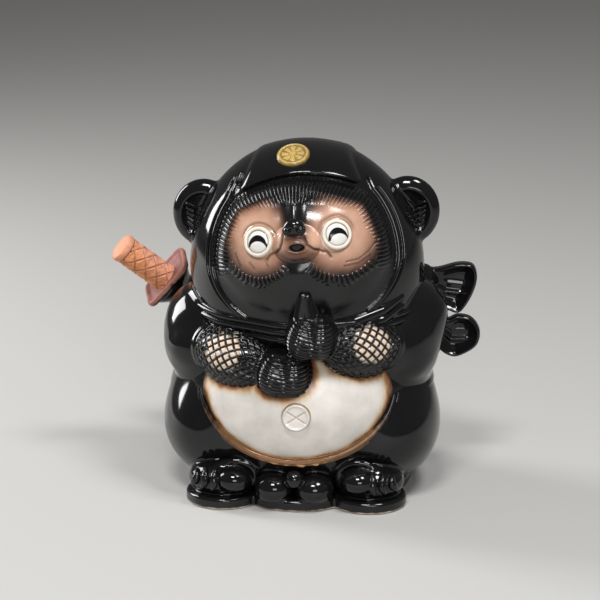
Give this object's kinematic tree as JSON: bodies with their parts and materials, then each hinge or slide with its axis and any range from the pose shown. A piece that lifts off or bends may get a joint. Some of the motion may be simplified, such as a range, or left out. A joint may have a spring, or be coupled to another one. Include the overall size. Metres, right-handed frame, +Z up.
{
  "type": "tanuki statue",
  "caption": "Hollow glazed pottery tanuki in a hood, hands joined in a finger sign, sword on its back, standing on a lobed base.",
  "frame": {"origin": "middle of the underside of the base plate, on the surface the figure stands on", "axes": "+Z up, -Y the way the figure faces, +X to the figure's left"},
  "size_m": [0.2542, 0.1781, 0.2368],
  "materials": {
    "black_glaze": "high gloss, breaking to dark brown on thin edges",
    "face_glaze": "gloss, soft tan patches round the eyes fading to black",
    "mesh_glaze": "gloss black with a tan centre under an incised lattice",
    "belly_glaze": "gloss white fading to brown at the edge",
    "amber_glaze": "gloss amber",
    "cream_glaze": "gloss cream",
    "eye_glaze": "gloss white with a black crescent",
    "gold_glaze": "gloss gold",
    "brown_glaze": "satin reddish brown",
    "base_glaze": "gloss black, bare clay at the foot and underneath"
  },
  "bodies": {
    "root": {"base_plate": "base_glaze", "torso_front": "black_glaze", "torso_back": "black_glaze", "hood_front": "black_glaze", "hood_back": "black_glaze", "hip_left": "black_glaze", "hip_right": "black_glaze", "foot_left": "black_glaze", "foot_right": "black_glaze", "toes_left": "black_glaze", "toes_right": "black_glaze", "bag_left": "black_glaze", "bag_right": "black_glaze", "bag_knob": "black_glaze", "sleeve_left": "black_glaze", "sleeve_right": "black_glaze", "cuff_left": "black_glaze", "cuff_right": "black_glaze", "hand_lower": "black_glaze", "hand_upper": "black_glaze", "raised_fingers": "black_glaze", "hood_rim": "black_glaze", "brow_band": "black_glaze", "nose": "black_glaze", "ear_left": "black_glaze", "ear_right": "black_glaze", "ear_hair_left": "black_glaze", "ear_hair_right": "black_glaze", "neck_wrap": "black_glaze", "collar_left": "black_glaze", "collar_right": "black_glaze", "scarf_knot": "black_glaze", "scarf_tail_upper": "black_glaze", "scarf_tail_lower": "black_glaze", "scabbard": "black_glaze", "scabbard_mouth": "black_glaze", "scabbard_tip": "black_glaze", "tail": "black_glaze", "face": "face_glaze", "muzzle": "face_glaze", "forearm_left": "mesh_glaze", "forearm_right": "mesh_glaze", "belly": "belly_glaze", "navel": "belly_glaze", "belly_hem": "amber_glaze", "hem_knot": "amber_glaze", "eye_ring_left": "cream_glaze", "eye_ring_right": "cream_glaze", "eyeball_left": "eye_glaze", "eyeball_right": "eye_glaze", "crest": "gold_glaze", "sword_guard": "brown_glaze", "sword_hilt": "brown_glaze", "hilt_cap": "brown_glaze"}
  },
  "joints": []
}
